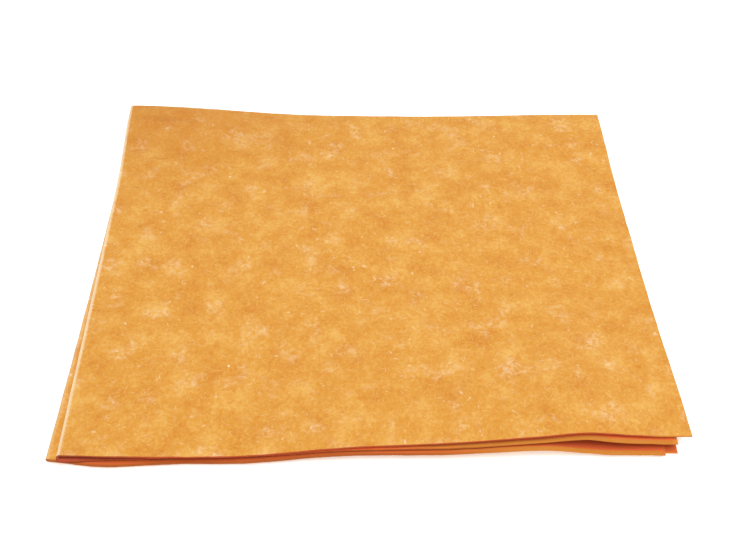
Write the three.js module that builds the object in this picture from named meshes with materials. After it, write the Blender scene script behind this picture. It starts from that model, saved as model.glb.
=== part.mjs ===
// Nonwoven cleaning cloth, folded twice into quarters.
//
// The cloth is one web of needled fibre, cut to a rectangle with bare edges. It is creased
// first down the left, a little off centre, which gives a wider outer half and a narrower
// inner half, and then across the back, which gives four leaves: upper outer, upper inner,
// lower inner and lower outer. The web is divided here along its own creases into four
// leaves, two left folds, the inner back fold, and the two halves of the outer back fold.
//
// Millimetres, +Z up. The folds lie to the left (-X) and the back (+Y), the cut edges to the
// right and the front, and the origin is the middle of the space that the cloth rests on.
import * as THREE from 'three';

// Driving sizes of the flat web
const webDepth = 500;
const outerWidth = 303.5;
const innerWidth = 296.5;
const webThickness = 1.2;

// How it is folded: the air left between two leaves, how far the back crease drifts from
// square over the outer width, how far the lower left fold is drawn in at its middle, and
// the slit where the outer back fold opens
const leafGap = 0.3;
const creaseDrift = 3.6;
const lowerFoldDraw = 1.8;
const openSlit = 0.3;

// How the leaves lift. The front edges rise in an arch and a peak that fade towards the
// back, and the corners at the back spring up where the folds cross.
const frontLift = 8.8;
const frontFadeDepth = 112;
const backLeftLift = 7;
const backRightLift = 3.5;
const backCornerWidth = 130;
const backCornerDepth = 70;

// How far the cut edges at the front wander from straight
const cutWander = 2.5;

// Stations across the width, as shares of the outer width from the left fold. There each
// leaf's front edge is lifted by a share of the front lift, and cut longer by a share of
// the wander.
const stationShares = [0, 0.085, 0.2, 0.3, 0.45, 0.62, 0.765, 0.83, 0.87, 0.92, 1];
const frontLiftShares = {
  upperOuter: [0, 0.1, 0.06, 0.04, 0.4, 0.5, 0.82, 1, 0.8, 0.6, 0.48],
  upperInner: [0, 0, 0, 0.02, 0.3, 0.36, 0.64, 0.82, 0.62, 0.46, 0.3],
  lowerInner: [0, 0, 0, 0.02, 0.28, 0.32, 0.5, 0.2, 0.08, 0.05, 0.04],
  lowerOuter: [0, 0, 0, 0, 0.16, 0.2, 0.3, 0.12, 0.02, 0, 0],
};
const cutShares = {
  upperOuter: [1, 1.3, 1.5, 1.4, 0.8, 0.4, 0, -0.3, -0.4, -0.3, -0.3],
  upperInner: [1, 1.4, 1.2, 1, 0.2, 0.1, -0.4, -0.6, -0.4, -0.3, -0.3],
  lowerInner: [0.6, 1.7, 1, 0.8, -0.4, -0.8, -1.5, -1.7, -1.6, -1.6, -1.6],
  lowerOuter: [0.6, 0.9, 0.8, 0.8, -0.4, -0.8, -1.5, -1.7, -1.6, -1.6, -1.6],
};

// Each leaf's part in the lift of the back corners, which open like a fan
const fanShares = { upperOuter: 1, upperInner: 0.64, lowerInner: 0.3, lowerOuter: 0 };

// How finely the web is cut into facets
const leafColumns = 26;
const leafRows = 12;
const leftTurnSteps = 6;
const backTurnSteps = 4;

// The stack of leaves, measured at the middle of the web's thickness
const pitch = webThickness + leafGap;
const leftRadius = pitch / 2;
const outerRadius = pitch + leftRadius;
const stackMiddle = outerRadius + webThickness / 2;
const quarterTurn = Math.PI / 2;
const halfCrease = leftRadius * quarterTurn;
const skew = Math.atan2(creaseDrift, outerWidth);

// The leaves' flat extent beside the left folds and on either side of the back fold
const outerReach = outerWidth - halfCrease;
const innerReach = innerWidth - halfCrease;
const halfDepth = webDepth / 2;

// The value at a place between the stations, on a smooth curve through all of them
function valueAt(place, values) {
  const last = stationShares.length - 1;
  const slopeAt = (i) => {
    const before = Math.max(i - 1, 0);
    const after = Math.min(i + 1, last);
    return (values[after] - values[before]) / (stationShares[after] - stationShares[before]);
  };
  const here = THREE.MathUtils.clamp(place, 0, 1);
  const i = Math.min(stationShares.findLastIndex((share) => share <= here), last - 1);
  const span = stationShares[i + 1] - stationShares[i];
  const t = (here - stationShares[i]) / span;
  const rise = (values[i + 1] - values[i]) * t * t * (3 - 2 * t);
  const lead = slopeAt(i) * span * t * (1 - t) * (1 - t);
  const trail = slopeAt(i + 1) * span * t * t * (1 - t);
  return values[i] + rise + lead - trail;
}

// A bell that is 1 at no distance and has faded to 0 at its reach
function bell(distance, reach) {
  return (1 + Math.cos(Math.PI * Math.min(Math.abs(distance) / reach, 1))) / 2;
}

// Mixes one value per leaf. outward runs from 0 on an inner leaf to 1 on an outer one, and
// upward from 0 on the lower pair to 1 on the upper pair.
function mixLeaves(valueOf, outward, upward) {
  const lower = THREE.MathUtils.lerp(valueOf('lowerInner'), valueOf('lowerOuter'), outward);
  const upper = THREE.MathUtils.lerp(valueOf('upperInner'), valueOf('upperOuter'), outward);
  return THREE.MathUtils.lerp(lower, upper, upward);
}

// How high the stack is lifted at a distance right of the left fold's line and a distance
// in front of the back fold's line
function liftAt(right, front, outward, upward) {
  const liftShareOf = (leaf) => Math.max(valueAt(right / outerWidth, frontLiftShares[leaf]), 0);
  const frontShare = mixLeaves(liftShareOf, outward, upward);
  const fanShare = mixLeaves((leaf) => fanShares[leaf], outward, upward);
  const leftCorner = backLeftLift * bell(right, backCornerWidth);
  const rightCorner = backRightLift * bell(right - outerReach, backCornerWidth);
  return (
    frontLift * frontShare * bell(front - halfDepth, frontFadeDepth) +
    fanShare * (leftCorner + rightCorner) * bell(front, backCornerDepth)
  );
}

// A point of the folded web. across.turn is an angle round the left fold, from the inner leaf
// at minus a quarter turn to the outer leaf at plus one, and across.reach is the distance
// beyond that fold. along.side is 1 above the middle of the stack and -1 below it,
// along.turnShare runs from the middle of the stack round the back fold, which starts at
// along.slit, and along.leafShare from there to the cut edge. offset runs outward from the
// middle of the web's thickness.
function foldedPoint(across, along, offset) {
  const { side, slit, turnShare, leafShare } = along;
  const outward = (1 + Math.sin(across.turn)) / 2;
  const middleRadius = pitch + leftRadius * Math.sin(across.turn);
  const radius = pitch + (leftRadius + offset) * Math.sin(across.turn);
  const width = across.reach - (leftRadius + offset) * Math.cos(across.turn);

  const cutShareOf = (leaf) => valueAt(width / outerWidth, cutShares[leaf]);
  const cutLonger = cutWander * mixLeaves(cutShareOf, outward, (1 + side) / 2);
  const cutEdge = halfDepth * Math.cos(skew) - side * width * Math.sin(skew) + cutLonger;
  const turn = THREE.MathUtils.lerp(slit / middleRadius, quarterTurn, turnShare);
  const beyond = leafShare * (cutEdge - middleRadius * quarterTurn);
  const drawnIn = side < 0 ? lowerFoldDraw * Math.sin(Math.PI * leafShare) : 0;

  const drift = side * (middleRadius * turn + beyond) * Math.tan(skew);
  const right = width / Math.cos(skew) + drift + drawnIn;
  const front = beyond - radius * Math.cos(turn);
  const height = stackMiddle + side * radius * Math.sin(turn);
  const upward = (1 + side * Math.sin(turn)) / 2;
  return new THREE.Vector3(right, -front, height + liftAt(right, front, outward, upward));
}

// A closed solid of the web's thickness over a grid of places across and along it
function webSolid(acrossPlaces, alongPlaces) {
  const columns = acrossPlaces.length;
  const rows = alongPlaces.length;
  const skins = [-webThickness / 2, webThickness / 2];
  const points = skins.flatMap((offset) =>
    alongPlaces.flatMap((along) => acrossPlaces.map((across) => foldedPoint(across, along, offset))),
  );

  const at = (skin, row, column) => (skin * rows + row) * columns + column;
  const faces = [];
  const addQuad = (a, b, c, d) => faces.push(a, b, c, a, c, d);
  for (let row = 0; row + 1 < rows; row += 1) {
    for (let column = 0; column + 1 < columns; column += 1) {
      const corners = [[row, column], [row, column + 1], [row + 1, column + 1], [row + 1, column]];
      addQuad(...corners.map((corner) => at(0, ...corner)));
      addQuad(...corners.reverse().map((corner) => at(1, ...corner)));
    }
    addQuad(at(0, row, 0), at(0, row + 1, 0), at(1, row + 1, 0), at(1, row, 0));
    const end = columns - 1;
    addQuad(at(0, row + 1, end), at(0, row, end), at(1, row, end), at(1, row + 1, end));
  }
  for (let column = 0; column + 1 < columns; column += 1) {
    const next = column + 1;
    addQuad(at(0, 0, next), at(0, 0, column), at(1, 0, column), at(1, 0, next));
    const end = rows - 1;
    addQuad(at(0, end, column), at(0, end, next), at(1, end, next), at(1, end, column));
  }

  const geometry = new THREE.BufferGeometry().setFromPoints(points);
  geometry.setIndex(faces);
  geometry.computeVertexNormals();
  return geometry;
}

// Even steps from one share to another, both ends included
function shares(steps, from, to) {
  return Array.from({ length: steps + 1 }, (_, i) => THREE.MathUtils.lerp(from, to, i / steps));
}

// Places across the web, always from the inner leaf's cut edge towards the outer leaf's
const acrossInner = shares(leafColumns, 1, 0).map((share) => ({
  turn: -quarterTurn,
  reach: share * innerReach,
}));
const acrossLeftFold = shares(leftTurnSteps, -1, 1).map((share) => ({
  turn: share * quarterTurn,
  reach: 0,
}));
const acrossOuter = shares(leafColumns, 0, 1).map((share) => ({
  turn: quarterTurn,
  reach: share * outerReach,
}));

// Places along the web, always from the lower leaves' cut edge towards the upper leaves'
const alongLeaf = (side) =>
  shares(leafRows, 0, 1).map((leafShare) => ({ side, slit: 0, turnShare: 1, leafShare }));
const alongBackFold = (side, slit) =>
  shares(backTurnSteps, 0, 1).map((turnShare) => ({ side, slit, turnShare, leafShare: 0 }));
const alongAll = (side) => [...alongBackFold(side, openSlit / 2), ...alongLeaf(side).slice(1)];
const below = (places) => places.reverse();

const pieces = {
  lower_outer_leaf: [acrossOuter, below(alongLeaf(-1))],
  lower_inner_leaf: [acrossInner, below(alongLeaf(-1))],
  upper_inner_leaf: [acrossInner, alongLeaf(1)],
  upper_outer_leaf: [acrossOuter, alongLeaf(1)],
  lower_left_fold: [acrossLeftFold, below(alongAll(-1))],
  upper_left_fold: [acrossLeftFold, alongAll(1)],
  inner_back_fold: [acrossInner, [...below(alongBackFold(-1, 0)), ...alongBackFold(1, 0).slice(1)]],
  lower_outer_back_fold: [acrossOuter, below(alongBackFold(-1, openSlit / 2))],
  upper_outer_back_fold: [acrossOuter, alongBackFold(1, openSlit / 2)],
};

// Dry orange viscose and polyester fibre: matt, and a little darker in the folds
const leafColour = 0xeba54b;
const foldColour = 0xdf9a44;

const cloth = new THREE.Group();
for (const [name, [acrossPlaces, alongPlaces]] of Object.entries(pieces)) {
  const material = new THREE.MeshStandardMaterial({
    color: name.endsWith('leaf') ? leafColour : foldColour,
    roughness: 0.95,
    metalness: 0,
  });
  const piece = new THREE.Mesh(webSolid(acrossPlaces, alongPlaces), material);
  piece.name = name;
  cloth.add(piece);
}

// Stand the folded cloth on z = 0 with the middle of its outline at the origin
const space = new THREE.Box3().setFromObject(cloth);
const centre = space.getCenter(new THREE.Vector3());
cloth.position.set(-centre.x, -centre.y, -space.min.z);

export default cloth;
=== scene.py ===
import math

import bpy
import numpy as np
from mathutils import Matrix, Vector


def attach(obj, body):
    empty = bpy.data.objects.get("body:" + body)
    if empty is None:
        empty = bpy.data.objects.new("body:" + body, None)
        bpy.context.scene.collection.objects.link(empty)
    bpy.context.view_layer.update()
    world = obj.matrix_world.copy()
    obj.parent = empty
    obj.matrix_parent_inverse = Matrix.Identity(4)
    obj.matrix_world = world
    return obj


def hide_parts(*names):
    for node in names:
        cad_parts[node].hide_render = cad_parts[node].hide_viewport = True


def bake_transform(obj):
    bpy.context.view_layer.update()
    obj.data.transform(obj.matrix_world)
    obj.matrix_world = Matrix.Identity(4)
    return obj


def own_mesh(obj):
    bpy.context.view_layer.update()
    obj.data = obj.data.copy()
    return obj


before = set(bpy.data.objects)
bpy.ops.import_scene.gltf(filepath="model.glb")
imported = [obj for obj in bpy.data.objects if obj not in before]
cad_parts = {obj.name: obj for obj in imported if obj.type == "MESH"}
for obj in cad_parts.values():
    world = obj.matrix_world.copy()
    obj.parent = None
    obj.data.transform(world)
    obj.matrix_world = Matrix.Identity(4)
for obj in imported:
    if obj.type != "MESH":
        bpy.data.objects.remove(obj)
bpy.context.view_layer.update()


# The view. The folded cloth is seen from the front and above, a little from the left, by a
# lens of medium length, so the back edge looks much shorter than the front edge.
mm = 0.001
camera_place = (-14.39 * mm, -341.62 * mm, 387.96 * mm)
camera_pitch, camera_yaw, camera_roll = 49.40, 3.24, 2.72
sensor_width, focal_length = 36, 43.415
nearest_seen = 10 * mm


def look(pitch, yaw, roll):
    """Turns the camera down by pitch, to the right by yaw and about its own line by roll."""
    ahead = Vector(
        (math.sin(yaw) * math.cos(pitch), math.cos(yaw) * math.cos(pitch), -math.sin(pitch))
    )
    level = Vector((math.cos(yaw), -math.sin(yaw), 0))
    upright = level.cross(ahead)
    right = math.cos(roll) * level + math.sin(roll) * upright
    up = math.cos(roll) * upright - math.sin(roll) * level
    return Matrix((right, up, -ahead)).transposed().to_4x4()


camera = bpy.data.objects.new("camera", bpy.data.cameras.new("camera"))
bpy.context.scene.collection.objects.link(camera)
bpy.context.scene.camera = camera
camera.data.sensor_width = sensor_width
camera.data.lens = focal_length
camera.data.clip_start = nearest_seen
camera.matrix_world = Matrix.Translation(camera_place) @ look(
    math.radians(camera_pitch), math.radians(camera_yaw), math.radians(camera_roll)
)


# The web. One sheet of viscose and polyester fibre, carded, laid and felted by needles to
# about 1.2 mm, then cut bare at its edges. It is creased down the left, a little off its
# middle, and then across the back, so it lies in four leaves.
web_depth = 500 * mm
outer_width = 303.5 * mm
inner_width = 296.5 * mm
thickness = 1.2 * mm
leaf_gap = 0.3 * mm
crease_drift = 3.6 * mm
lower_fold_draw = 1.0 * mm
open_slit = 0.3 * mm
front_lift = 8.8 * mm
front_fade = 112 * mm
back_left_lift = 7 * mm
back_right_lift = 3.5 * mm
back_corner_width = 130 * mm
back_corner_depth = 70 * mm
cut_wander = 2.5 * mm

pitch = thickness + leaf_gap
left_radius = pitch / 2
stack_middle = pitch + left_radius + thickness / 2
half_crease = left_radius * math.pi / 2
skew = math.atan2(crease_drift, outer_width)
outer_reach = outer_width - half_crease
inner_reach = inner_width - half_crease
half_depth = web_depth / 2
fold_line = -150.462 * mm
back_line = 125.249 * mm

# Along the front, from the left fold to the right cut: how high each leaf is lifted there, and
# how much longer it is cut, as shares of front_lift and cut_wander
station_shares = np.array([0, 0.085, 0.2, 0.3, 0.45, 0.62, 0.765, 0.83, 0.87, 0.92, 1])
front_lift_shares = {
    "upper_outer": [0.1, 0.2, 0.18, 0.12, 0.42, 0.5, 0.82, 1, 0.8, 0.6, 0.48],
    "upper_inner": [0, 0, 0, 0.02, 0.3, 0.36, 0.64, 0.82, 0.62, 0.46, 0.3],
    "lower_inner": [0, 0, 0, 0.02, 0.28, 0.32, 0.5, 0.2, 0.08, 0.05, 0.04],
    "lower_outer": [0, 0, 0, 0, 0.16, 0.2, 0.3, 0.12, 0.02, 0, 0],
}
cut_shares = {
    "upper_outer": [1.4, 2.0, 2.2, 1.95, 1.1, 0.55, 0, -0.3, -0.4, -0.3, -0.3],
    "upper_inner": [1.2, 0.9, 0.6, 0.6, 0.2, 0.1, -0.4, -0.6, -0.4, -0.3, -0.3],
    "lower_inner": [0.6, 1.7, 1, 0.8, -0.4, -0.8, -1.5, -1.7, -1.6, -1.6, -1.6],
    "lower_outer": [0.6, 0.9, 0.8, 0.8, -0.4, -0.8, -1.5, -1.7, -1.6, -1.6, -1.6],
}
fan_shares = {"upper_outer": 1, "upper_inner": 0.64, "lower_inner": 0.3, "lower_outer": 0}

# Short creases near the back left corner: centre and reach on the flat web in mm, and depth as
# a share of crease_sink. The mesh has them wider than the eye sees them, for its grid's sake.
creases = (
    ((306, 291.3), (8, 0.8), 0.8),
    ((319, 296.6), (9, 0.9), 0.9),
    ((367, 289.6), (10, 0.8), 0.7),
    ((308, 320.1), (8, 0.8), 0.9),
    ((317, 264.5), (24, 3.6), 0.6),
    ((345, 301.5), (12, 0.9), 0.4),
    ((402, 283.0), (15, 1.0), 0.4),
)
crease_sink = 0.25 * mm
crease_widening = 1.3
narrowest_crease = 2.4

# Needled dimples a few millimetres apart on broader lumps, as (spacing, height)
dimples = ((9 * mm, 0.05 * mm), (4.2 * mm, 0.045 * mm), (2.6 * mm, 0.03 * mm))


def value_at(place, values):
    """The value at a place between the stations, on a smooth curve through all of them."""
    values = np.array(values, float)
    last = len(station_shares) - 1
    before = np.maximum(np.arange(last + 1) - 1, 0)
    after = np.minimum(np.arange(last + 1) + 1, last)
    slopes = (values[after] - values[before]) / (station_shares[after] - station_shares[before])
    here = np.clip(place, 0, 1)
    i = np.minimum(np.searchsorted(station_shares, here, side="right") - 1, last - 1)
    span = station_shares[i + 1] - station_shares[i]
    t = (here - station_shares[i]) / span
    rise = (values[i + 1] - values[i]) * t * t * (3 - 2 * t)
    start_bend = slopes[i] * span * t * (1 - t) ** 2
    end_bend = slopes[i + 1] * span * t * t * (1 - t)
    return values[i] + rise + start_bend - end_bend


def bell(distance, reach):
    """1 at no distance, fading to 0 at its reach."""
    return (1 + np.cos(np.pi * np.minimum(np.abs(distance) / reach, 1))) / 2


def mix(a, b, share):
    """From a at no share to b at the whole."""
    return a + (b - a) * share


def mix_leaves(value_of, outward, upward):
    """The four leaves' values, mixed by how far out and how far up a point of the stack is."""
    lower = mix(value_of("lower_inner"), value_of("lower_outer"), outward)
    upper = mix(value_of("upper_inner"), value_of("upper_outer"), outward)
    return mix(lower, upper, upward)


def lift_at(right, front, outward, upward):
    """How high the stack is lifted, right of the left fold and in front of the back fold."""
    front_share = mix_leaves(
        lambda leaf: np.maximum(value_at(right / outer_width, front_lift_shares[leaf]), 0),
        outward, upward,
    )
    fan_share = mix_leaves(lambda leaf: fan_shares[leaf], outward, upward)
    left_corner = back_left_lift * bell(right, back_corner_width)
    right_corner = back_right_lift * bell(right - outer_reach, back_corner_width)
    return front_lift * front_share * bell(front - half_depth, front_fade) + fan_share * (
        left_corner + right_corner
    ) * bell(front, back_corner_depth)


def slit_turn(right):
    """The turn, down from the middle, that keeps the outer back crease's slit at one height."""
    raised = back_left_lift * bell(right, back_corner_width)
    raised = raised + back_right_lift * bell(right - outer_reach, back_corner_width)
    return -np.arcsin(raised / (2 * (pitch + left_radius) + raised))


def folded(turn, reach, side, slit, turn_share, leaf_share, ahead, offset, lifted=1):
    """Where a point of the flat web lies once it is folded. turn goes round the left fold and
    reach beyond it; turn_share goes round the back fold from its slit, and leaf_share from there
    to the cut edge, with ahead added; offset is out from the middle of the thickness."""
    outward = (1 + np.sin(turn)) / 2
    middle_radius = pitch + left_radius * np.sin(turn)
    radius = pitch + (left_radius + offset) * np.sin(turn)
    width = reach - (left_radius + offset) * np.cos(turn)
    cut_longer = cut_wander * mix_leaves(
        lambda leaf: value_at(width / outer_width, cut_shares[leaf]), outward, (1 + side) / 2
    )
    cut_edge = half_depth * np.cos(skew) - side * width * np.sin(skew) + cut_longer
    round_slit = slit / middle_radius + side * slit_turn(width) * (slit > 0)
    round_back = mix(round_slit, np.pi / 2, turn_share)
    beyond = leaf_share * (cut_edge - middle_radius * np.pi / 2) + ahead
    drawn_in = lower_fold_draw * np.sin(np.pi * leaf_share) * (side < 0)
    drift = side * (middle_radius * round_back + beyond) * np.tan(skew)
    right = width / np.cos(skew) + drift + drawn_in
    front = beyond - radius * np.cos(round_back)
    upward = (1 + side * np.sin(round_back)) / 2
    height = stack_middle + side * radius * np.sin(round_back)
    height = height + lifted * lift_at(right, front, outward, upward)
    return np.stack(np.broadcast_arrays(right + fold_line, back_line - front, height), -1)


def clumps(x, y, size, seed):
    """Soft lumps of fibre, from -1 to 1, whose spacing is size."""
    count = 256
    table = np.random.default_rng(seed).uniform(-1, 1, (count, count))
    cell_x, cell_y = np.floor(x / size).astype(int), np.floor(y / size).astype(int)
    part_x, part_y = x / size - cell_x, y / size - cell_y
    part_x, part_y = part_x**2 * (3 - 2 * part_x), part_y**2 * (3 - 2 * part_y)
    left, right = cell_x % count, (cell_x + 1) % count
    near, far = cell_y % count, (cell_y + 1) % count
    return mix(
        mix(table[left, near], table[right, near], part_x),
        mix(table[left, far], table[right, far], part_x),
        part_y,
    )


def felt_relief(across, along):
    """How high the felt's own uneven skin stands."""
    return sum(
        height * clumps(across, along, spacing, seed)
        for seed, (spacing, height) in enumerate(dimples, 1)
    )


def crease_depth(across, along):
    """How deep the short creases lie."""
    sunk = 0
    for centre, reach, depth in creases:
        off_across = (across / mm - centre[0]) / (reach[0] * crease_widening)
        off_along = (along / mm - centre[1]) / max(reach[1] * crease_widening, narrowest_crease)
        sunk = sunk + crease_sink * depth * bell(np.hypot(off_across, off_along), 1)
    return sunk


def linear(hex_colour):
    """An sRGB hex colour as linear RGBA."""
    parts = [int(hex_colour[i : i + 2], 16) / 255 for i in (1, 3, 5)]
    return [p / 12.92 if p <= 0.04045 else ((p + 0.055) / 1.055) ** 2.4 for p in parts] + [1]


def node(tree, kind, settings=None, **links):
    """Adds a node with its settings; a link is an output socket or a plain value for the named or
    numbered input."""
    made = tree.nodes.new(kind)
    for name, value in (settings or {}).items():
        setattr(made, name, value)
    for name, value in links.items():
        key = int(name[1:]) if name[1:].isdigit() else name.replace("_", " ")
        if isinstance(value, bpy.types.NodeSocket):
            tree.links.new(value, made.inputs[key])
        else:
            made.inputs[key].default_value = value
    return made


# Settings that many nodes of the felt share
smooth = {"interpolation_type": "SMOOTHSTEP"}
colours = {"data_type": "RGBA"}
multiply = {"operation": "MULTIPLY"}
multiply_add = {"operation": "MULTIPLY_ADD"}
divide = {"operation": "DIVIDE"}
subtract = {"operation": "SUBTRACT"}
subtract_to_zero = {"operation": "SUBTRACT", "use_clamp": True}
absolute = {"operation": "ABSOLUTE"}
larger = {"operation": "MAXIMUM"}
is_greater = {"operation": "GREATER_THAN"}
how_long = {"operation": "LENGTH"}

# The inner face's place on the flat web is given this much further across than the outer face's,
# so that the felt's pattern differs from face to face
inner_face = 1.0


# Needled felt of dyed viscose with a little undyed polyester, dry and matt. The eye sees orange
# softly mottled where the carded layers run thick and thin, pale wisps and curled hairs of
# polyester. Painted on it are a whitish highlight along the left fold's ridge, and painted shade:
# darker creases, a darker back left corner, and red where the leaves meet.
def needled_felt():
    material = bpy.data.materials.new("needled_viscose_polyester_felt")
    material.use_nodes = True
    tree = material.node_tree
    tree.nodes.clear()
    web = node(tree, "ShaderNodeUVMap", {"uv_map": "flat_web"}).outputs["UV"]
    place = node(tree, "ShaderNodeSeparateXYZ", Vector=web)

    # Carded layers run thick and thin in lumps of 17 mm and finer, with a grain of 1.9 mm
    lumps = node(
        tree, "ShaderNodeTexNoise", Vector=web, Scale=1 / (17 * mm), Detail=6, Roughness=0.74
    ).outputs["Fac"]
    grain = node(
        tree, "ShaderNodeTexNoise", Vector=web, Scale=1 / (1.9 * mm), Detail=3, Roughness=0.6
    ).outputs["Fac"]
    lumps = node(tree, "ShaderNodeMath", multiply_add, _0=grain, _1=0.4, _2=lumps).outputs[0]
    lumps = node(tree, "ShaderNodeMath", subtract, _0=lumps, _1=0.2).outputs[0]
    dense = node(
        tree, "ShaderNodeMapRange", Value=lumps, From_Min=0.30, From_Max=0.48
    ).outputs["Result"]
    thin = node(
        tree, "ShaderNodeMapRange", Value=lumps, From_Min=0.50, From_Max=0.68
    ).outputs["Result"]
    colour = node(
        tree, "ShaderNodeMix", colours, _0=dense, _6=linear("#c67b22"), _7=linear("#d18f33")
    ).outputs[2]
    colour = node(
        tree, "ShaderNodeMix", colours, _0=thin, _6=colour, _7=linear("#dda853")
    ).outputs[2]

    # Fibres lie every way in the web; they are 0.02 mm thick and drawn over 0.5 mm wide to show
    wander = node(
        tree, "ShaderNodeTexNoise", Vector=web, Scale=1 / (6 * mm), Detail=2
    ).outputs["Color"]
    bent = node(
        tree, "ShaderNodeVectorMath", multiply_add, _0=wander, _1=(4 * mm, 4 * mm, 0), _2=web
    ).outputs["Vector"]
    lay = []
    for turn in (0.4, 1.5, 2.5):
        strands = node(
            tree, "ShaderNodeMapping", {"vector_type": "TEXTURE"},
            Vector=bent, Rotation=(0, 0, turn), Scale=(5 * mm, 0.7 * mm, 1),
        ).outputs["Vector"]
        lay.append(
            node(
                tree, "ShaderNodeTexNoise", Vector=strands, Scale=1, Detail=2, Roughness=0.6
            ).outputs["Fac"]
        )
    lay_height = node(tree, "ShaderNodeMath", larger, _0=lay[0], _1=lay[1]).outputs[0]
    lay_height = node(tree, "ShaderNodeMath", larger, _0=lay_height, _1=lay[2]).outputs[0]
    raised = node(
        tree, "ShaderNodeMapRange", smooth,
        Value=lay_height, From_Min=0.55, From_Max=0.74, To_Max=0.6,
    ).outputs["Result"]
    colour = node(
        tree, "ShaderNodeMix", colours, _0=raised, _6=colour, _7=linear("#e0b162")
    ).outputs[2]

    # Undyed polyester gathers in wisps of 5 to 12 mm, ragged at 3 mm and less
    gathered = node(
        tree, "ShaderNodeTexNoise", Vector=web, Scale=1 / (15 * mm), Detail=1, Roughness=0.5
    ).outputs["Fac"]
    gathered = node(
        tree, "ShaderNodeMapRange", smooth, Value=gathered, From_Min=0.52, From_Max=0.76
    ).outputs["Result"]
    tufts = node(
        tree, "ShaderNodeTexNoise", Vector=bent, Scale=1 / (3.4 * mm), Detail=4, Roughness=0.7
    ).outputs["Fac"]
    tufts = node(
        tree, "ShaderNodeMapRange", smooth,
        Value=tufts, From_Min=0.42, From_Max=0.68, To_Max=0.85,
    ).outputs["Result"]
    wisps = node(tree, "ShaderNodeMath", multiply, _0=gathered, _1=tufts).outputs[0]
    colour = node(
        tree, "ShaderNodeMix", colours, _0=wisps, _6=colour, _7=linear("#e6c08e")
    ).outputs[2]

    # Single curled hairs of it, 3 to 8 mm long, are where a wandering noise crosses its middle
    curls = node(
        tree, "ShaderNodeTexNoise", Vector=bent, Scale=1 / (5.5 * mm), Detail=1, Roughness=0.4
    ).outputs["Fac"]
    curls = node(tree, "ShaderNodeMath", subtract, _0=curls, _1=0.5).outputs[0]
    curls = node(tree, "ShaderNodeMath", absolute, _0=curls).outputs[0]
    curls = node(
        tree, "ShaderNodeMapRange", smooth,
        Value=curls, From_Min=0.004, From_Max=0.020, To_Min=1, To_Max=0,
    ).outputs["Result"]
    some = node(
        tree, "ShaderNodeTexNoise", Vector=web, Scale=1 / (4.5 * mm), Detail=2, Roughness=0.6
    ).outputs["Fac"]
    some = node(
        tree, "ShaderNodeMapRange", smooth,
        Value=some, From_Min=0.56, From_Max=0.68, To_Max=0.55,
    ).outputs["Result"]
    hairs = node(tree, "ShaderNodeMath", multiply, _0=curls, _1=some).outputs[0]
    colour = node(
        tree, "ShaderNodeMix", colours, _0=hairs, _6=colour, _7=linear("#ecd2ae")
    ).outputs[2]

    # A knot of fibre shows as a pale speck about 1 mm wide, one to some 6 square centimetres
    knots = node(tree, "ShaderNodeTexVoronoi", Vector=web, Scale=1 / (13 * mm))
    near_knot = node(
        tree, "ShaderNodeMapRange", smooth,
        Value=knots.outputs["Distance"], From_Min=0.025, From_Max=0.060, To_Min=1, To_Max=0,
    ).outputs["Result"]
    chosen = node(tree, "ShaderNodeSeparateColor", Color=knots.outputs["Color"]).outputs["Red"]
    chosen = node(tree, "ShaderNodeMath", is_greater, _0=chosen, _1=0.7).outputs[0]
    specks = node(tree, "ShaderNodeMath", multiply, _0=near_knot, _1=chosen).outputs[0]
    colour = node(
        tree, "ShaderNodeMix", colours, _0=specks, _6=colour, _7=linear("#efdcc0")
    ).outputs[2]

    # Short creases run in from the left fold near the back, painted darker down in them as painted
    # shade. The bent web lies 2 mm off the flat one on average, so their centres are moved with
    # it.
    creased = None
    for centre, reach, depth in creases:
        gap = node(
            tree, "ShaderNodeVectorMath", subtract,
            _0=bent, _1=((centre[0] + 2) * mm, (centre[1] + 2) * mm, 0),
        ).outputs["Vector"]
        gap = node(
            tree, "ShaderNodeVectorMath", divide, _0=gap, _1=(reach[0] * mm, reach[1] * mm, 1)
        ).outputs["Vector"]
        gap = node(tree, "ShaderNodeVectorMath", how_long, _0=gap).outputs["Value"]
        groove = node(
            tree, "ShaderNodeMapRange", smooth,
            Value=gap, From_Min=0.1, From_Max=1, To_Min=depth, To_Max=0,
        ).outputs["Result"]
        if creased is not None:
            groove = node(tree, "ShaderNodeMath", larger, _0=creased, _1=groove).outputs[0]
        creased = groove
    shade = node(tree, "ShaderNodeMath", multiply, _0=creased, _1=0.35).outputs[0]
    colour = node(
        tree, "ShaderNodeMix", colours, _0=shade, _6=colour, _7=linear("#9c5618")
    ).outputs[2]

    # The felt is painted a little darker round the corner that the two folds share, as painted
    # shade where the light falls off towards the back left
    corner_shade = node(
        tree, "ShaderNodeVectorMath", subtract, _0=web, _1=(296 * mm, 250 * mm, 0)
    ).outputs["Vector"]
    corner_shade = node(
        tree, "ShaderNodeVectorMath", divide, _0=corner_shade, _1=(170 * mm, 95 * mm, 1)
    ).outputs["Vector"]
    corner_shade = node(tree, "ShaderNodeVectorMath", how_long, _0=corner_shade).outputs["Value"]
    corner_shade = node(
        tree, "ShaderNodeMapRange", smooth,
        Value=corner_shade, From_Min=0.1, From_Max=1, To_Min=0.4, To_Max=0,
    ).outputs["Result"]
    colour = node(
        tree, "ShaderNodeMix", colours, _0=corner_shade, _6=colour, _7=linear("#b66c20")
    ).outputs[2]
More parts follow.
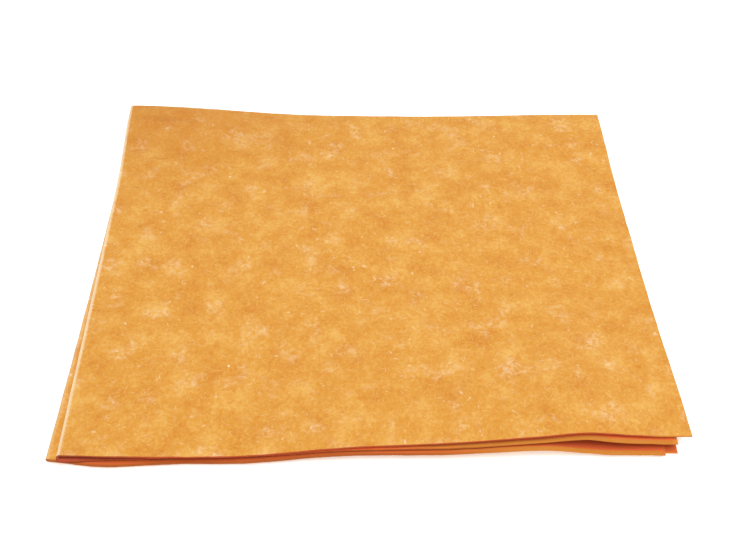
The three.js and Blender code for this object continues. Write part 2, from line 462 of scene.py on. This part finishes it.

    # A painted highlight runs along the left fold's ridge, whitish and broken up by the lay of the
    # fibres, fainter on the lower leaves
    across = node(
        tree, "ShaderNodeMath", {"operation": "FRACT"}, _0=place.outputs["X"]
    ).outputs[0]
    from_fold = node(tree, "ShaderNodeMath", subtract, _0=across, _1=inner_width).outputs[0]
    from_fold = node(tree, "ShaderNodeMath", absolute, _0=from_fold).outputs[0]
    upper = node(
        tree, "ShaderNodeMath", is_greater, _0=place.outputs["Y"], _1=half_depth
    ).outputs[0]
    ridge_highlight = node(
        tree, "ShaderNodeMath", multiply_add, _0=lay_height, _1=-2.2 * mm, _2=from_fold
    ).outputs[0]
    ridge_highlight = node(
        tree, "ShaderNodeMapRange", smooth,
        Value=ridge_highlight, From_Min=-0.6 * mm, From_Max=1.2 * mm, To_Min=0.85, To_Max=0,
    ).outputs["Result"]
    ridge = node(tree, "ShaderNodeMapRange", Value=upper, To_Min=0.35, To_Max=1).outputs["Result"]
    ridge_highlight = node(tree, "ShaderNodeMath", multiply, _0=ridge_highlight, _1=ridge).outputs[0]
    colour = node(
        tree, "ShaderNodeMix", colours, _0=ridge_highlight, _6=colour, _7=linear("#efd6ae")
    ).outputs[2]

    # Deep between the leaves light only comes from orange to orange, and the eye sees it red; that
    # red is painted here as painted shade. It starts 1 to 3 mm behind the cut, and at the left,
    # where the leaf above covers the cut, right at it.
    from_cut = node(
        tree, "ShaderNodeMath", {"operation": "PINGPONG"}, _0=place.outputs["Y"], _1=half_depth
    ).outputs[0]
    behind = node(
        tree, "ShaderNodeMapRange", smooth,
        Value=from_cut, From_Min=1.3 * mm, From_Max=3.0 * mm,
    ).outputs["Result"]
    beside = node(
        tree, "ShaderNodeMapRange", smooth,
        Value=from_fold, From_Min=130 * mm, From_Max=200 * mm, To_Min=1, To_Max=0,
    ).outputs["Result"]
    beside = node(tree, "ShaderNodeMath", multiply, _0=beside, _1=upper).outputs[0]
    behind = node(tree, "ShaderNodeMath", larger, _0=behind, _1=beside).outputs[0]
    lower_beside = node(
        tree, "ShaderNodeMapRange", smooth,
        Value=from_fold, From_Min=170 * mm, From_Max=235 * mm, To_Min=1, To_Max=0,
    ).outputs["Result"]
    lower_beside = node(
        tree, "ShaderNodeMath", subtract_to_zero, _0=lower_beside, _1=upper
    ).outputs[0]
    lower_start = node(tree, "ShaderNodeMath", multiply, _0=lower_beside, _1=0.75).outputs[0]
    behind = node(tree, "ShaderNodeMath", larger, _0=behind, _1=lower_start).outputs[0]
    end = node(
        tree, "ShaderNodeMapRange",
        Value=from_fold, From_Min=294 * mm, From_Max=297 * mm, To_Max=0.9,
    ).outputs["Result"]
    behind = node(tree, "ShaderNodeMath", larger, _0=behind, _1=end).outputs[0]

    # The second leaf's top lies bare when the cloth is open, so there the painted red ends nearer
    # the cut
    nearer = node(tree, "ShaderNodeMapRange", Value=upper, To_Min=1, To_Max=2.2).outputs["Result"]
    inward = node(tree, "ShaderNodeMath", multiply, _0=from_cut, _1=nearer).outputs[0]
    ahead = node(
        tree, "ShaderNodeMapRange", smooth,
        Value=inward, From_Min=7 * mm, From_Max=15 * mm, To_Min=1, To_Max=0,
    ).outputs["Result"]
    painted_red_rim = node(tree, "ShaderNodeMath", multiply, _0=behind, _1=ahead).outputs[0]

    # Only the tops of the two inner leaves have it, where a leaf lies over them, and the end of
    # the lowest leaf's top
    inner_leaf = node(
        tree, "ShaderNodeMath", {"operation": "LESS_THAN"}, _0=across, _1=inner_width
    ).outputs[0]
    inner_skin = node(
        tree, "ShaderNodeMath", is_greater, _0=place.outputs["X"], _1=0.9 * inner_face
    ).outputs[0]
    faces_up = node(
        tree, "ShaderNodeMath", {"operation": "COMPARE"}, _0=inner_skin, _1=upper, _2=0.5
    ).outputs[0]
    covered = node(
        tree, "ShaderNodeMapRange", smooth, Value=from_fold, From_Min=8 * mm, From_Max=13 * mm
    ).outputs["Result"]
    covered = node(tree, "ShaderNodeMath", larger, _0=covered, _1=upper).outputs[0]
    free = node(
        tree, "ShaderNodeMapRange", smooth,
        Value=from_fold, From_Min=293 * mm, From_Max=297 * mm, To_Min=1, To_Max=0,
    ).outputs["Result"]
    lower = node(tree, "ShaderNodeMath", subtract, _0=1, _1=upper).outputs[0]
    free = node(tree, "ShaderNodeMath", larger, _0=free, _1=lower).outputs[0]
    inside = node(tree, "ShaderNodeMath", multiply, _0=inner_leaf, _1=faces_up).outputs[0]
    inside = node(tree, "ShaderNodeMath", multiply, _0=inside, _1=covered).outputs[0]
    inside = node(tree, "ShaderNodeMath", multiply, _0=inside, _1=free).outputs[0]
    end = node(tree, "ShaderNodeMath", multiply, _0=end, _1=lower).outputs[0]
    end = node(tree, "ShaderNodeMath", multiply, _0=end, _1=inner_skin).outputs[0]
    inside = node(tree, "ShaderNodeMath", larger, _0=inside, _1=end).outputs[0]
    painted_red_rim = node(tree, "ShaderNodeMath", multiply, _0=painted_red_rim, _1=inside).outputs[0]
    # Near the cut these covered tops are also painted a duller orange, as painted shade under the
    # leaf above
    painted_shade_strip = node(tree, "ShaderNodeMath", multiply, _0=inside, _1=ahead).outputs[0]
    painted_shade_strip = node(tree, "ShaderNodeMath", multiply, _0=painted_shade_strip, _1=0.85).outputs[0]
    colour = node(
        tree, "ShaderNodeMix", colours, _0=painted_shade_strip, _6=colour, _7=linear("#c47828")
    ).outputs[2]
    # The painted red is darker near the left fold, and the lower leaves' tops get one plain red
    bright = node(
        tree, "ShaderNodeMapRange", smooth,
        Value=from_fold, From_Min=20 * mm, From_Max=120 * mm,
    ).outputs["Result"]
    painted_red_light = node(
        tree, "ShaderNodeMix", colours, _0=bright, _6=linear("#b04a2c"), _7=linear("#fb7038")
    ).outputs[2]
    painted_red_light = node(tree, "ShaderNodeMix", colours, _0=upper, _6=linear("#d05a2a"), _7=painted_red_light).outputs[2]
    colour = node(tree, "ShaderNodeMix", colours, _0=painted_red_rim, _6=colour, _7=painted_red_light).outputs[2]

    # Along the front left the lower leaves' faces are painted brown within about a millimetre of
    # the cut, as painted shade at their rounded edge
    lip_shade = node(
        tree, "ShaderNodeMapRange", smooth,
        Value=from_cut, From_Min=0.3 * mm, From_Max=1.4 * mm, To_Min=1, To_Max=0,
    ).outputs["Result"]
    lip_shade = node(tree, "ShaderNodeMath", multiply, _0=lip_shade, _1=lower_beside).outputs[0]
    lip_shade = node(tree, "ShaderNodeMath", subtract_to_zero, _0=lip_shade, _1=inner_skin).outputs[0]
    colour = node(
        tree, "ShaderNodeMix", colours, _0=lip_shade, _6=colour, _7=linear("#a8581f")
    ).outputs[2]

    # The lay of the fibres and the lumps stand up 0.2 mm, and the creases sink as deep
    height = node(
        tree, "ShaderNodeMath", multiply_add, _0=lay_height, _1=0.8, _2=lumps
    ).outputs[0]
    height = node(tree, "ShaderNodeMath", subtract, _0=height, _1=creased).outputs[0]
    bump = node(
        tree, "ShaderNodeBump", Strength=0.6, Distance=0.22 * mm, Height=height
    ).outputs["Normal"]
    surface = node(
        tree, "ShaderNodeBsdfPrincipled",
        Base_Color=colour, Roughness=0.95, IOR=1.5, Normal=bump,
        Specular_IOR_Level=0.2, Sheen_Weight=0.15, Sheen_Roughness=0.6,
    ).outputs["BSDF"]
    node(tree, "ShaderNodeOutputMaterial", Surface=surface)
    return material


# The same felt where a blade has cut it: fibre ends in faint layers, deeper in colour than the
# faces, partly because the eye looks in between them and partly as painted shade, and with
# painted red light where they lie under another leaf
def cut_edge_of_felt():
    material = bpy.data.materials.new("cut_edge_of_needled_felt")
    material.use_nodes = True
    tree = material.node_tree
    tree.nodes.clear()
    web = node(tree, "ShaderNodeUVMap", {"uv_map": "flat_web"}).outputs["UV"]
    place = node(tree, "ShaderNodeSeparateXYZ", Vector=web)

    # The layers are 0.5 mm apart, and their colour runs on for about 9 mm
    layers = node(
        tree, "ShaderNodeTexNoise", Vector=web, Scale=1 / (0.5 * mm), Detail=3, Roughness=0.7
    ).outputs["Fac"]
    runs = node(
        tree, "ShaderNodeTexNoise", Vector=web, Scale=1 / (9 * mm), Detail=3, Roughness=0.6
    ).outputs["Fac"]
    mixed = node(tree, "ShaderNodeMath", multiply_add, _0=runs, _1=0.7, _2=layers).outputs[0]
    share = node(
        tree, "ShaderNodeMapRange", Value=mixed, From_Min=0.65, From_Max=1.1
    ).outputs["Result"]
    colour = node(
        tree, "ShaderNodeMix", colours, _0=share, _6=linear("#9f4e1e"), _7=linear("#b8652c")
    ).outputs[2]

    # To the right, where the leaves part, more light gets to them, painted as a paler colour
    from_fold = node(
        tree, "ShaderNodeMath", subtract, _0=place.outputs["X"], _1=inner_width
    ).outputs[0]
    outer = node(tree, "ShaderNodeMath", is_greater, _0=from_fold, _1=0.0).outputs[0]
    upper = node(
        tree, "ShaderNodeMath", is_greater, _0=place.outputs["Y"], _1=half_depth
    ).outputs[0]
    from_fold = node(tree, "ShaderNodeMath", absolute, _0=from_fold).outputs[0]
    painted_light_share = node(
        tree, "ShaderNodeMapRange", smooth,
        Value=from_fold, From_Min=160 * mm, From_Max=240 * mm, To_Max=0.8,
    ).outputs["Result"]
    colour = node(
        tree, "ShaderNodeMix", colours, _0=painted_light_share, _6=colour, _7=linear("#d2872f")
    ).outputs[2]

    # The top leaf's cut edge gets little but red light from the leaves under it, and at the left
    # so does the second leaf's; that red light is painted, darkest near the left fold
    tucked = node(
        tree, "ShaderNodeMapRange", smooth,
        Value=from_fold, From_Min=100 * mm, From_Max=135 * mm, To_Min=1, To_Max=0,
    ).outputs["Result"]
    over = node(
        tree, "ShaderNodeMapRange", smooth,
        Value=from_fold, From_Min=280 * mm, From_Max=288 * mm, To_Min=1, To_Max=0,
    ).outputs["Result"]
    over = node(tree, "ShaderNodeMath", multiply, _0=over, _1=outer).outputs[0]
    painted_red_share = node(tree, "ShaderNodeMath", larger, _0=tucked, _1=over).outputs[0]
    painted_red_share = node(tree, "ShaderNodeMath", multiply, _0=painted_red_share, _1=upper).outputs[0]
    painted_red_light = node(
        tree, "ShaderNodeMapRange", smooth, Value=from_fold, From_Min=8 * mm, From_Max=50 * mm
    ).outputs["Result"]
    painted_red_light = node(
        tree, "ShaderNodeMix", colours, _0=painted_red_light, _6=linear("#a04826"), _7=linear("#b8502c")
    ).outputs[2]
    colour = node(tree, "ShaderNodeMix", colours, _0=painted_red_share, _6=colour, _7=painted_red_light).outputs[2]
    bump = node(
        tree, "ShaderNodeBump", Strength=0.7, Distance=0.2 * mm, Height=layers
    ).outputs["Normal"]
    surface = node(
        tree, "ShaderNodeBsdfPrincipled",
        Base_Color=colour, Roughness=0.95, IOR=1.5, Normal=bump, Specular_IOR_Level=0.2,
    ).outputs["BSDF"]
    node(tree, "ShaderNodeOutputMaterial", Surface=surface)
    return material


# The four leaves. Each is a quarter of the felt web with its half of the left crease, and the
# outer two also have their half of the outer back crease. A blade has cut the two free edges of
# each, which leaves them slightly rounded and ragged.
felt, cut_felt = needled_felt(), cut_edge_of_felt()
edge_steps = np.array([-1, -0.6, 0, 0.6, 1])
edge_round = 0.3 * mm
edge_fullness = 0.96
fine_ragged, fine_spacing = 0.07 * mm, 1.9 * mm
broad_ragged, broad_spacing = 0.12 * mm, 7 * mm
layer_shift = 9 * mm
rests_at = 0.02 * mm
near_cut = (3.2, 2.2, 1.5, 1.0, 0.6, 0)  # the grid's last lines, in mm from the cut
fold_steps = 8
grid_step = 1.9 * mm
top_grid_step = 1.5 * mm


def web_piece(name, across, along, cut_sides):
    """A closed piece of the web over a grid of places across it, as (turn, reach) pairs, and along
    it, as (side, slit, turn_share, leaf_share, ahead). cut_sides says whether the last column and
    the last row are cut edges, which are rounded over and a little ragged."""
    turn, reach = np.array(across).T[:, None, None, :]
    side, slit, turn_share, leaf_share, ahead = np.array(along).T[:, None, :, None]
    level = edge_steps[:, None, None]
    shape = (len(edge_steps), len(along), len(across))
    web_across = inner_reach + half_crease + turn * left_radius + np.sign(turn[..., -1:]) * reach
    round_back = (pitch + left_radius * np.sin(turn)) * np.pi / 2
    from_crease = round_back * turn_share + (half_depth - round_back) * leaf_share + ahead
    web_across, web_along = np.broadcast_arrays(web_across, half_depth + side * from_crease)

    # The cut edges draw back at both faces, and wander by a different amount in each layer
    shy = edge_round * (1 - np.sqrt(1 - edge_fullness * level**2))
    ragged = fine_ragged * clumps(web_across + level * layer_shift, web_along, fine_spacing, 4)
    ragged = ragged + broad_ragged * clumps(web_across, web_along, broad_spacing, 5)
    last_column = (np.arange(shape[2]) == shape[2] - 1)[None, None, :] & cut_sides[0]
    last_row = (np.arange(shape[1]) == shape[1] - 1)[None, :, None] & cut_sides[1]
    reach = reach - (shy - ragged) * last_column
    ahead = ahead - (shy - ragged) * last_row
    relief = felt_relief(web_across + (level < 0) * inner_face, web_along)
    offset = level * (thickness / 2 + relief)
    offset = offset - np.maximum(level, 0) * crease_depth(web_across, web_along)
    place = (turn, reach, side, slit, turn_share, leaf_share, ahead, offset)
    points, laid = (
        np.array(np.broadcast_to(folded(*place, lifted), (*shape, 3))) for lifted in (1, 0)
    )
    points[..., 2] = np.maximum(points[..., 2], rests_at)

    # The grid's six outer sides make the closed piece; each has its place on the flat web
    used = np.ones(shape, bool)
    used[1:-1, 1:-1, 1:-1] = False
    number = (np.cumsum(used.ravel()) - 1).reshape(shape)
    flat = np.stack([web_across[0], web_along[0]], -1)
    turned = (flat[0, -1, 0] > flat[0, 0, 0]) == (flat[-1, 0, 1] > flat[0, 0, 1])
    down = ((1 - edge_steps) * thickness / 2)[:, None, None]
    skins = (
        (number[0].T, (flat + (inner_face, 0)).transpose(1, 0, 2), False),
        (number[-1], flat, False),
        (number[:, 0, :], flat[0] + down * (0, -1), False),
        (number[:, -1, :].T, (flat[-1] + down * (0, 1)).transpose(1, 0, 2), cut_sides[1]),
        (number[:, :, 0].T, (flat[:, 0] + down * (-1, 0)).transpose(1, 0, 2), False),
        (number[:, :, -1], flat[:, -1] + down * (1, 0), cut_sides[0]),
    )
    faces, places, finish, joined = [], [], [], []
    for index, (skin, where, is_cut) in enumerate(skins):
        for corners, found in ((skin, faces), (where, places)):
            ring = [corners[:-1, :-1], corners[:-1, 1:], corners[1:, 1:], corners[1:, :-1]]
            ring = ring[::-1] if turned else ring
            found.append(np.stack([c.reshape(-1, *c.shape[2:]) for c in ring], 1))
        finish.append(np.full(len(faces[-1]), int(is_cut)))
        joined.append(np.full(len(faces[-1]), int(index > 1 and not is_cut)))
    mesh = bpy.data.meshes.new(name)
    mesh.from_pydata(points[used].tolist(), [], np.concatenate(faces).tolist())
    uv = np.concatenate(places).astype(np.float32)
    mesh.uv_layers.new(name="flat_web").data.foreach_set("uv", uv.ravel())
    mesh.shade_smooth()
    for material in (felt, cut_felt):
        mesh.materials.append(material)
    mesh.polygons.foreach_set("material_index", np.concatenate(finish).astype(np.int32))

    # Edges round a side that joins the next piece are sharp, so the shading runs on across it
    edge_of = np.empty(len(mesh.loops), np.int32)
    mesh.loops.foreach_get("edge_index", edge_of)
    sides_joined = np.zeros((len(mesh.edges), 2), int)
    np.add.at(sides_joined, (edge_of, np.repeat(np.concatenate(joined), 4)), 1)
    mesh.edges.foreach_set("use_edge_sharp", sides_joined.min(1) > 0)
    made = bpy.data.objects.new(name, mesh)
    bpy.context.scene.collection.objects.link(made)
    return made, points[used], laid[used]


def towards_cut(length, step):
    """Even steps from a fold nearly to a cut edge, then closer ones, as (share, ahead) pairs."""
    shares = np.linspace(0, 1 - near_cut[0] * mm / length, round(length / step))
    return [(share, 0) for share in shares] + [(1, -near * mm) for near in near_cut[1:]]


def half_fold(steps):
    """Even shares of half a fold, up to where the flat leaf goes on."""
    return np.linspace(0, 1, steps, endpoint=False)


quarter_turn = math.pi / 2
leaves = {}
for name, outer, side, step, rests_on in (
    ("lower_outer", True, -1, grid_step, "table"),
    ("lower_inner", False, -1, grid_step, "web_lower_outer"),
    ("upper_inner", False, 1, grid_step, "web_lower_inner"),
    ("upper_outer", True, 1, top_grid_step, "web_upper_inner"),
):
    full = outer_reach if outer else inner_reach
    way = quarter_turn if outer else -quarter_turn
    across = [(way * share, 0) for share in half_fold(fold_steps)]
    across += [(way, share * full + ahead) for share, ahead in towards_cut(full, step)]
    slit = open_slit / 2 if outer else 0
    along = [(side, slit, share, 0, 0) for share in half_fold(fold_steps)] if outer else []
    along += [(side, slit, 1, share, ahead) for share, ahead in towards_cut(half_depth, step)]
    leaf, _, _ = web_piece("web_" + name, across, along, (True, True))
    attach(leaf, name)
    folds = name + "_back_fold" if outer else name.split("_")[0] + "_left_fold"
    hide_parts(name + "_leaf", folds)
    flat = (outer_width if outer else inner_width, half_depth)
    leaves[name] = (leaf, flat, rests_on)


# The inner back crease: the web's short inner turn between the two inner leaves, of the same
# felt, pressed flat by the fold. Its transform is baked in while it lies without the leaves'
# lift, and its real shape comes back after that.
across = [(-quarter_turn * share, 0) for share in half_fold(fold_steps)]
across += [
    (-quarter_turn, share * inner_reach + ahead)
    for share, ahead in towards_cut(inner_reach, grid_step)
]
along = [(-1, 0, share, 0, 0) for share in np.linspace(1, 0, fold_steps + 1)[:-1]]
along += [(1, 0, share, 0, 0) for share in np.linspace(0, 1, fold_steps + 1)]
crease, points, laid = web_piece("inner_back_crease", across, along, (True, False))
crease.data.vertices.foreach_set("co", laid.ravel())
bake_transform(crease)
crease.data.vertices.foreach_set("co", points.ravel())
crease.data.update()
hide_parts("inner_back_fold")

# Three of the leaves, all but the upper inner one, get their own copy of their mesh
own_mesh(leaves["upper_outer"][0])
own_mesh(leaves["lower_outer"][0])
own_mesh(leaves["lower_inner"][0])


# The table: a sheet of opal acrylic as photographers use, lit from below. Its satin face looks
# evenly white, and its own light keeps the shadow under the cloth faint.
table_half = 4.0
table_corners = [
    (-table_half, -table_half, 0), (table_half, -table_half, 0),
    (table_half, table_half, 0), (-table_half, table_half, 0),
]
table = bpy.data.objects.new("table", bpy.data.meshes.new("table"))
bpy.context.scene.collection.objects.link(table)
table.data.from_pydata(table_corners, [], [(0, 1, 2, 3)])
opal = bpy.data.materials.new("lit_opal_acrylic")
opal.use_nodes = True
face = opal.node_tree.nodes["Principled BSDF"].inputs
face["Base Color"].default_value = linear("#f4f4f4")
face["Roughness"].default_value = 0.9
face["Emission Color"].default_value = (1, 1, 1, 1)
face["Emission Strength"].default_value = 0.4
table.data.materials.append(opal)


# The light: a white room, and one round softbox 2 m above the table, a little to the right of
# the cloth and to its front. It draws the soft, short shadows of the leaves.
room_strength = 0.55
softbox_size, softbox_energy = 1.6, 35
softbox_place = (0.3, -0.25, 2.0)

world = bpy.data.worlds.new("studio")
bpy.context.scene.world = world
world.use_nodes = True
world.node_tree.nodes["Background"].inputs["Color"].default_value = (1, 1, 1, 1)
world.node_tree.nodes["Background"].inputs["Strength"].default_value = room_strength

key = bpy.data.objects.new("key", bpy.data.lights.new("key", "AREA"))
bpy.context.scene.collection.objects.link(key)
key.data.shape = "DISK"
key.data.size = softbox_size
key.data.energy = softbox_energy
key.location = softbox_place
key.rotation_euler = (-key.location).to_track_quat("-Z", "Y").to_euler()
bpy.context.scene.view_settings.view_transform = "Standard"
